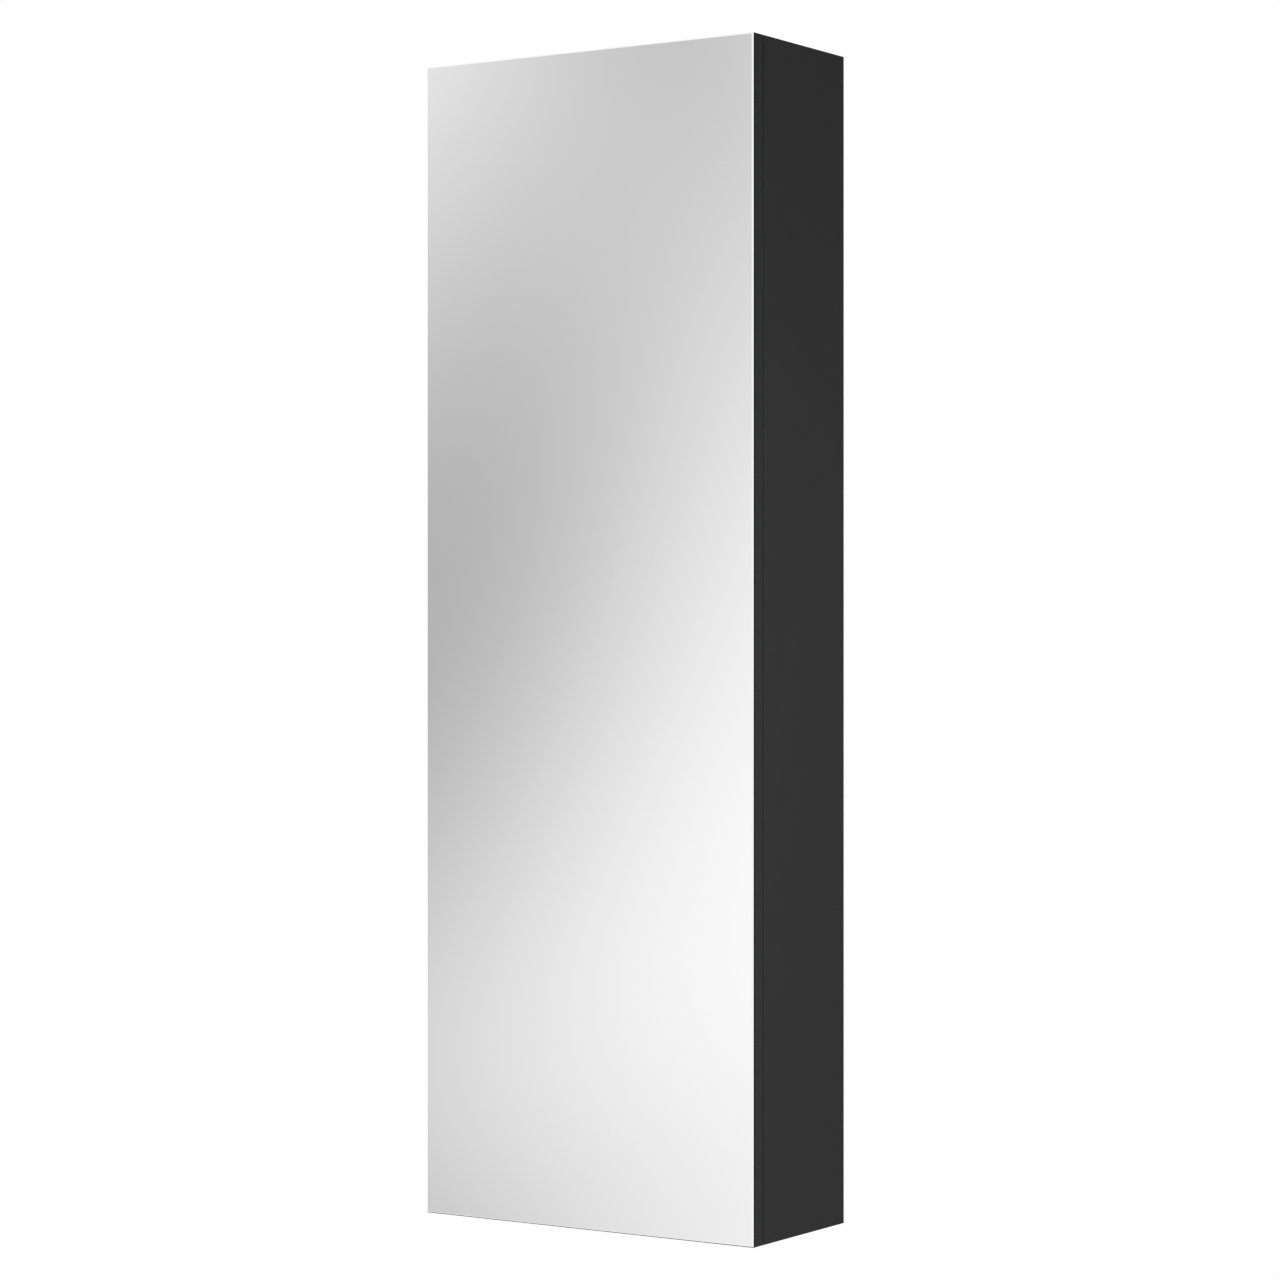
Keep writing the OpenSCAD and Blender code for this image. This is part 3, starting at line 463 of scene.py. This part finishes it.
def clear_glass(name, dark, light, rough, through):
    mat, shader = new_finish(name, light, rough)
    shader.inputs["Transmission Weight"].default_value = through
    shader.inputs["IOR"].default_value = GLASS_IOR
    tone(mat, shader, grain(mat, 60 * MM), dark, light)
    green = mat.node_tree.nodes.new("ShaderNodeVolumeAbsorption")
    green.inputs["Color"].default_value = IRON_GREEN
    green.inputs["Density"].default_value = GREEN_PER_METRE
    out = mat.node_tree.nodes["Material Output"]
    mat.node_tree.links.new(green.outputs["Volume"], out.inputs["Volume"])
    return mat


shelf_glass = clear_glass("shelf_glass", (0.99, 0.99, 0.99), (1, 1, 1), 0.0, 1)
shelf_edge = clear_glass("ground_shelf_edge", (0.24, 0.43, 0.38), (0.3, 0.5, 0.44), 0.25, 0.6)

silver, shader = new_finish("silver_layer", (0.97, 0.97, 0.97), 0.0, metal=1.0)
tone(silver, shader, grain(silver, 90 * MM), (0.965, 0.964, 0.964), (0.975, 0.973, 0.974))
# this finish is the real cut edge, and also the painted dark reflection on the lowest strip of the
# mirror's front
edge_finish_and_painted_strip, shader = new_finish("cut_edge_and_painted_dark_strip", (0.013, 0.016, 0.015), 0.12, shine=0.15)
ground = grain(edge_finish_and_painted_strip, 1.0 * MM, stretch=(12, 1, 12))
tone(edge_finish_and_painted_strip, shader, ground, (0.011, 0.014, 0.013), (0.015, 0.018, 0.017))
gloss(edge_finish_and_painted_strip, shader, ground, 0.08, 0.2)
back_paint, shader = new_finish("mirror_back_paint", (0.18, 0.18, 0.185), 0.5, shine=0.3)
brushed = grain(back_paint, 1.5 * MM, stretch=(1, 1, 20))
tone(back_paint, shader, brushed, (0.15, 0.15, 0.155), (0.21, 0.21, 0.215))
relief(back_paint, shader, brushed, 0.01 * MM)

# %% Give every solid its finish
FINISHES = {
    "board": board, "mirror": silver, "adhesive": adhesive, "shelf_glass": shelf_glass, "steel": steel,
    "nickel": nickel, "dark_steel": dark_steel, "zinc": cast_zinc, "plastic": plastic,
    "light_plastic": grey_plastic, "silicone": silicone, "beech": beech,
}


def dress(solid, finish):
    if not solid.material_slots:
        solid.data.materials.append(None)
    for place in solid.material_slots:
        place.material = finish


for part in frame["record"]["subparts"]:
    dress(frame["nodes"][part["node"]], FINISHES[part["material_slot"]])

# %% [markdown]
# ## Two ways to start a piece
# A piece either starts from a simple shape, or from a copy of the ready-made solid where the
# solid already has what is hard to draw again, such as the rows of holes in a side board. The
# ready-made meshes are loose triangles, so a copy is first merged, and flat areas are joined.
# parts_of measures each separate body of a solid, so that screws and pins land where they belong.
# Lengths below TINY count as nothing, points nearer than SAME_POINT are one, and what is nearer
# to a cut than ON_THE_PLANE lies on it.

# %% Helpers for pieces
TINY = 0.01 * MM
SAME_POINT = 0.002 * MM
ON_THE_PLANE = 0.001 * MM


def merged(node):
    bm = bmesh.new()
    bm.from_mesh(frame["nodes"][node].data)
    bmesh.ops.remove_doubles(bm, verts=bm.verts, dist=SAME_POINT)
    return bm


def copy_of(node):
    bm = merged(node)
    bmesh.ops.dissolve_limit(bm, angle_limit=math.radians(0.5), verts=bm.verts, edges=bm.edges)
    return bm


def corners_of(node):
    """The lowest and the highest corner of a solid."""
    return [Vector(corner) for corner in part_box(node)]


def parts_of(node):
    """The lowest and the highest corner of each separate body of a solid."""
    bm = merged(node)
    left, boxes = set(bm.verts), []
    while left:
        reach = [left.pop()]
        body = list(reach)
        while reach:
            for edge in reach.pop().link_edges:
                for vert in edge.verts:
                    if vert in left:
                        left.discard(vert)
                        reach.append(vert)
                        body.append(vert)
        boxes.append((Vector([min(v.co[i] for v in body) for i in range(3)]),
                      Vector([max(v.co[i] for v in body) for i in range(3)])))
    bm.free()
    return sorted(boxes, key=lambda box: tuple(round(c, 5) for c in box[0]))


def finish_piece(name, bm, body, finishes, stands_for, smooth=None):
    """Makes the object, with its place in its mesh, and lets it move with its part of the cabinet."""
    mesh = bpy.data.meshes.new(name)
    bm.to_mesh(mesh)
    bm.free()
    for finish in finishes:
        mesh.materials.append(finish)
    piece = bpy.data.objects.new(name, mesh)
    bpy.context.scene.collection.objects.link(piece)
    if smooth:
        mesh.shade_smooth()
        mesh.set_sharp_from_angle(angle=math.radians(smooth))
    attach(piece, body)
    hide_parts(*stands_for)
    size = []
    for i in range(3):
        along = [vert.co[i] for vert in mesh.vertices]
        size.append(round((max(along) - min(along)) / MM, 1))
    print(name, size, "mm,", len(mesh.polygons), "faces")
    return piece


def set_in(bm, shape, matrix):
    """Moves a small shape to its place in a larger mesh, and uses it up."""
    mould = bpy.data.meshes.new("mould")
    shape.to_mesh(mould)
    shape.free()
    mould.transform(matrix)
    bm.from_mesh(mould)
    bpy.data.meshes.remove(mould)


def cut_across(bm, at, out, remove_outside=False):
    """Cuts a mesh with a plane through at, whose outside is the way that out points."""
    whole = bm.verts[:] + bm.edges[:] + bm.faces[:]
    return bmesh.ops.bisect_plane(bm, geom=whole, dist=ON_THE_PLANE, plane_co=at, plane_no=out,
                                  clear_outer=remove_outside)["geom_cut"]


def round_off(bm, edges, radius, segments, keep_apart=False):
    """Rounds edges, with one segment into a flat. keep_apart stops bevels before they meet."""
    bmesh.ops.bevel(bm, geom=edges, offset=radius, segments=segments, profile=0.5,
                    affect="EDGES", material=-1, clamp_overlap=keep_apart)


# %% [markdown]
# ## The boards
# A board's long edges are never knife-sharp: the band is scraped to a radius of 0.3 mm, and that
# thin highlight is what the eye reads as the edge of a real board. So each board starts from a
# copy with all its holes and is cut 1 mm behind the faces that carry a band, which gives the band
# its own finish. Then its outer edges are rounded. The top and bottom boards end against the
# sides, so their ends stay sharp.

# %% Round only the edges on the outside
BAND, EDGE_RADIUS = 1 * MM, 0.3 * MM


def outer_edges(bm, lo, hi, axes):
    """The edges of a mesh that run along its box, where two of the named sides meet."""
    sides = [(i, value) for i in axes for value in (lo[i], hi[i])]
    found = []
    for edge in bm.edges:
        on = [s for s in sides if all(abs(v.co[s[0]] - s[1]) < TINY for v in edge.verts)]
        if len(on) == 2:
            found.append(edge)
    return found


def banded_board(node, name, body, banded, band, rounded):
    """banded: an axis and a side of each face with a band; rounded: axes of the rounded faces."""
    lo, hi = corners_of(node)
    bm = copy_of(node)
    for axis, side in banded:
        at, out = Vector((0, 0, 0)), Vector((0, 0, 0))
        at[axis] = lo[axis] + BAND if side < 0 else hi[axis] - BAND
        out[axis] = side
        cut_across(bm, at, out)
        for face in bm.faces:
            if (face.calc_center_median() - at).dot(out) > TINY:
                face.material_index = 1
    round_off(bm, outer_edges(bm, lo, hi, rounded), EDGE_RADIUS, 2, keep_apart=True)
    finish_piece(name, bm, body, [board, band], [node])


# %% Side, top, bottom and door boards
X, Y, Z = 0, 1, 2
FRONT = [(Y, -1)]
ALL_ROUND = [(X, -1), (X, 1), (Z, -1), (Z, 1)]

banded_board("side_panel_left", "left_side_board", "cabinet", FRONT, carcass_band_painted_lighter, (X, Y, Z))
banded_board("side_panel_right", "right_side_board", "cabinet", FRONT, carcass_band_painted_lighter, (X, Y, Z))
banded_board("top_panel", "top_board", "cabinet", FRONT, carcass_band_painted_lighter, (Y, Z))
banded_board("bottom_panel", "bottom_board", "cabinet", FRONT, carcass_band_painted_lighter, (Y, Z))
banded_board("door_panel", "door_board", "door", ALL_ROUND, door_band, (X, Y, Z))

# %% [markdown]
# ## The mirror
# The pane is 4 mm glass. Its front corners are ground to a 45 degree bevel and polished. It could
# be made as real glass over a silver sheet, but the bevel is then a prism, and from here it fills
# with dark streaks thinner than a pixel. So the pane is one solid whose front and bevels reflect
# by themselves. A bevel with one segment is exactly such a flat, and since each flat looks at
# another part of the room, it draws the fine bright line round the picture. The lowest strip of
# the front gets the dark finish of the cut edge as a painted dark reflection, so there the line
# ends in a thin dark one.

# %% Pane with polished bevels
BEVEL = 1.4 * MM
# height of the painted dark reflection along the bottom of the mirror's front
PAINTED_DARK_STRIP = 0.9 * MM


def slab(lo, hi):
    bm = bmesh.new()
    bmesh.ops.create_cube(bm, size=1)
    bmesh.ops.scale(bm, vec=hi - lo, verts=bm.verts)
    bmesh.ops.translate(bm, vec=(lo + hi) / 2, verts=bm.verts)
    return bm


lo, hi = corners_of("mirror_glass")
painted_strip_top = lo.z + PAINTED_DARK_STRIP
bm = slab(lo, hi)
front_edges = [e for e in bm.edges if all(abs(v.co.y - lo.y) < TINY for v in e.verts)]
round_off(bm, front_edges, BEVEL, 1)
cut_across(bm, (0, 0, painted_strip_top), (0, 0, 1))
bm.normal_update()
# the sides of the pane are the real cut edge; the lowest strip gets the same dark finish as a painted
# dark reflection
for face in bm.faces:
    if face.normal.y > 0.5:
        face.material_index = 2
    elif face.normal.y > -0.5 or face.calc_center_median().z < painted_strip_top:
        face.material_index = 1
finishes = [silver, edge_finish_and_painted_strip, back_paint]
finish_piece("mirror_pane", bm, "door", finishes, ["mirror_glass"])

# %% [markdown]
# ## Glass shelves
# A shelf is cut from 5 mm glass, its corners are rounded and its edges are ground and polished
# to a small pencil round. First the four upright corners get their radius, then the rims. All
# faces but the two flat ones get the finish of the ground edge. The Weighted Normal modifier
# keeps the flats flat beside their smooth rims.

# %% Four shelves
SHELF_CORNER, SHELF_RIM = 5 * MM, 0.6 * MM

for k in range(1, 5):
    node = "glass_shelf_%d" % k
    bm = slab(*corners_of(node))
    upright = [e for e in bm.edges if abs(e.verts[0].co.z - e.verts[1].co.z) > MM]
    round_off(bm, upright, SHELF_CORNER, 8)
    rims = [e for e in bm.edges if abs(e.verts[0].co.z - e.verts[1].co.z) < TINY]
    round_off(bm, rims, SHELF_RIM, 2)
    bm.normal_update()
    for face in bm.faces:
        face.material_index = 0 if abs(face.normal.z) > 0.99 else 1
    shelf = finish_piece("shelf_pane_%d" % k, bm, "cabinet", [shelf_glass, shelf_edge], [node],
                         smooth=28)
    shelf.modifiers.new("even_light", "WEIGHTED_NORMAL").keep_sharp = True

# %% [markdown]
# ## Shelf pins
# Two pins on each side carry a shelf. A pin is turned: a stud that goes into the board, a thin
# flange against it, and a peg whose top is milled flat for the glass. A turned piece is a profile
# spun round its axis. The flat is a cut with a plane, and the cut is closed again with a face.

# %% Turn a profile round the Z axis


def turned(profile, segments=24):
    """profile: pairs of radius and height, from one end of the axis to the other."""
    bm = bmesh.new()
    line = [bm.verts.new((radius, 0, height)) for radius, height in profile]
    for a, b in zip(line, line[1:]):
        bm.edges.new((a, b))
    bmesh.ops.spin(bm, geom=bm.verts[:] + bm.edges[:], cent=(0, 0, 0), axis=(0, 0, 1),
                   angle=math.tau, steps=segments, use_merge=True)
    bmesh.ops.remove_doubles(bm, verts=bm.verts, dist=SAME_POINT)
    bmesh.ops.recalc_face_normals(bm, faces=bm.faces)
    return bm


def facing(place, direction):
    """The matrix that stands a turned shape at a place, with its Z axis along a direction."""
    return Matrix.Translation(place) @ Vector(direction).to_track_quat("Z", "Y").to_matrix().to_4x4()


# %% Sixteen pins in their holes
STUD_R, STUD_L = 2.5 * MM, 8 * MM
FLANGE_R, FLANGE_T = 4.25 * MM, 1 * MM
PEG_R, PEG_L = 3.5 * MM, 7.5 * MM
CHAMFER = 0.3 * MM
FLAT_ABOVE_AXIS = 1.5 * MM
INNER_FACE = corners_of("side_panel_right")[0].x

peg_end = FLANGE_T + PEG_L
stud = [(0, -STUD_L), (STUD_R - CHAMFER, -STUD_L), (STUD_R, CHAMFER - STUD_L), (STUD_R, 0),
        (FLANGE_R, 0), (FLANGE_R, FLANGE_T - CHAMFER), (FLANGE_R - CHAMFER, FLANGE_T), (0, FLANGE_T)]
peg = [(0, FLANGE_T / 2), (PEG_R, FLANGE_T / 2), (PEG_R, peg_end - CHAMFER),
       (PEG_R - CHAMFER, peg_end), (0, peg_end)]

bm = bmesh.new()
for low, high in parts_of("shelf_supports"):
    side = 1 if low.x > 0 else -1
    hole = (low + high) / 2
    hole.x = side * INNER_FACE
    place = facing(hole, (-side, 0, 0))
    set_in(bm, turned(stud), place)
    milled = turned(peg)
    milled.transform(place)
    cut = cut_across(milled, hole + Vector((0, 0, FLAT_ABOVE_AXIS)), (0, 0, 1), remove_outside=True)
    bmesh.ops.edgeloop_fill(milled, edges=[e for e in cut if isinstance(e, bmesh.types.BMEdge)])
    set_in(bm, milled, Matrix.Identity(4))
finish_piece("shelf_pins", bm, "cabinet", [steel], ["shelf_supports"], smooth=35)

# %% [markdown]
# ## Screws
# A cross recess is what tells the eye that a round head is a screw. The head starts from a small
# grid of nine squares, and without its corners a cross is left. A bridge joins the cross to the
# round rim of the head, the cross is pushed down, and then the rim is drawn out ring by ring into
# the edge of the head, the shank, the ridges of the thread and the tip.

# %% A screw with a cross recess, standing along Z with the top of its head at zero
# Shares of the head's radius: the arms of the cross, half their width, and the flat top.
ARM, HALF_WIDTH, FLAT_TOP = 0.6, 0.14, 0.8
# Shares of the head's height and of the cross's width, for the bottom of the cross.
DEPTH, NARROWED = 0.7, 0.8
# Shares of radius and height: the edge of the head, and one turn of the thread.
HEAD = [(0.95, 0.25), (1, 0.6), (0.98, 1)]
THREAD = [(1, 0.2), (0.72, 0.45), (0.72, 0.85), (1, 1)]
TIP = 0.2


def draw_rim(bm, rim, from_r, rings):
    """Draws a round rim out through rings of a radius and a height, and closes the last one."""
    for radius, height in rings:
        grown = bmesh.ops.extrude_edge_only(bm, edges=rim)["geom"]
        verts = [g for g in grown if isinstance(g, bmesh.types.BMVert)]
        rim = [g for g in grown if isinstance(g, bmesh.types.BMEdge)]
        bmesh.ops.scale(bm, vec=(radius / from_r, radius / from_r, 1), verts=verts)
        bmesh.ops.translate(bm, vec=(0, 0, height - verts[0].co.z), verts=verts)
        from_r = radius
    bmesh.ops.edgeloop_fill(bm, edges=rim)


def screw(head_r, head_h, length, shank_r=2 * MM, pitch=1.4 * MM):
    arm, half, top_r = ARM * head_r, HALF_WIDTH * head_r, FLAT_TOP * head_r
    bm = bmesh.new()
    bmesh.ops.create_grid(bm, x_segments=3, y_segments=3, size=arm)
    for vert in bm.verts:
        for i in (0, 1):
            if abs(vert.co[i]) < 0.5 * arm:
                vert.co[i] = math.copysign(half, vert.co[i])
    corners = [f for f in bm.faces if min(abs(c) for c in f.calc_center_median()[:2]) > half]
    bmesh.ops.delete(bm, geom=corners, context="FACES")
    cross = list(bm.faces)
    outline = [e for e in bm.edges if e.is_boundary]
    circle = bmesh.ops.create_circle(bm, cap_ends=False, segments=24, radius=top_r)["verts"]
    rim = list({e for v in circle for e in v.link_edges})
    bmesh.ops.bridge_loops(bm, edges=outline + rim)
    sunk = bmesh.ops.extrude_face_region(bm, geom=cross)["geom"]
    bmesh.ops.delete(bm, geom=cross, context="FACES")
    bottom = [g for g in sunk if isinstance(g, bmesh.types.BMVert)]
    bmesh.ops.scale(bm, vec=(NARROWED, NARROWED, 1), verts=bottom)
    bmesh.ops.translate(bm, vec=(0, 0, -DEPTH * head_h), verts=bottom)
    rings = [(r * head_r, -z * head_h) for r, z in HEAD]
    rings.append((shank_r, -head_h))
    for k in range(int((length - head_h - shank_r) / pitch)):
        start = head_h + k * pitch
        rings += [(r * shank_r, -start - z * pitch) for r, z in THREAD]
    rings.append((TIP * shank_r, -length))
    draw_rim(bm, rim, top_r, rings)
    bmesh.ops.recalc_face_normals(bm, faces=bm.faces)
    return bm


# %% Screws where the solids have them
SCREWS = [
    # piece, solid, moves with, height of the head
    ("cup_ear_screws", "hinge_cup_screws", "door", 1.4 * MM),
    ("mounting_plate_screws", "hinge_plate_screws", "cabinet", 2 * MM),
    ("latch_foot_screw", "latch_screws", "cabinet", 2 * MM),
    ("hanger_body_screws", "hanger_screws", "cabinet", 2 * MM),
    ("strike_plate_screw", "strike_screw", "door", 0.6 * MM),
]

for name, node, body, head_h in SCREWS:
    bm = bmesh.new()
    for low, high in parts_of(node):
        size, middle = high - low, (low + high) / 2
        if body == "door":
            out = Vector((0, 1, 0))
        else:
            out = Vector((-1 if middle.x > 0 else 1, 0, 0))
        length = abs(size.dot(out))
        set_in(bm, screw(size.z / 2, head_h, length), facing(middle + out * length / 2, out))
    finish_piece(name, bm, body, [steel], [node], smooth=35)

# %% [markdown]
# ## Bumpers, plunger tip and hanger covers
# The two silicone bumpers that the door lands on are small domes, so they are turned like the
# pins. The plunger and the hanger covers are moulded, and a moulded piece has no sharp outer
# edge: their copies only get round edges where a hand can reach them.

# %% Silicone bumpers
DOME = [(0, 0), (1, 0), (1, 0.3), (0.92, 0.62), (0.72, 0.86), (0.4, 0.97), (0, 1)]

bm = bmesh.new()
for low, high in parts_of("door_bumpers"):
    radius, height = (high.x - low.x) / 2, high.y - low.y
    foot = (low + high) / 2
    foot.y = low.y
    set_in(bm, turned([(r * radius, z * height) for r, z in DOME]), facing(foot, (0, 1, 0)))
finish_piece("silicone_bumpers", bm, "door", [silicone], ["door_bumpers"], smooth=60)

# %% Plunger with a round tip
TIP_RADIUS, OUTSIDE_THE_BORE = 0.9 * MM, 3.5 * MM

lo, hi = corners_of("latch_plunger")
axis = (lo + hi) / 2


def on_the_rim(vert):
    from_axis = math.hypot(vert.co.x - axis.x, vert.co.z - axis.z)
    return abs(vert.co.y - lo.y) < TINY and from_axis > OUTSIDE_THE_BORE


bm = copy_of("latch_plunger")
round_off(bm, [e for e in bm.edges if all(on_the_rim(v) for v in e.verts)], TIP_RADIUS, 4)
finish_piece("plunger_tip", bm, "latch_plunger_body", [grey_plastic], ["latch_plunger"],
             smooth=35)

# %% Hanger covers
COVER_RADIUS = 1.2 * MM

for side in ("left", "right"):
    node = "hanger_cap_" + side
    bm = copy_of(node)
    edges = outer_edges(bm, *corners_of(node), (X, Y, Z))
    round_off(bm, edges, COVER_RADIUS, 4, keep_apart=True)
    finish_piece("hanger_cover_" + side, bm, "cabinet", [plastic], [node], smooth=35)
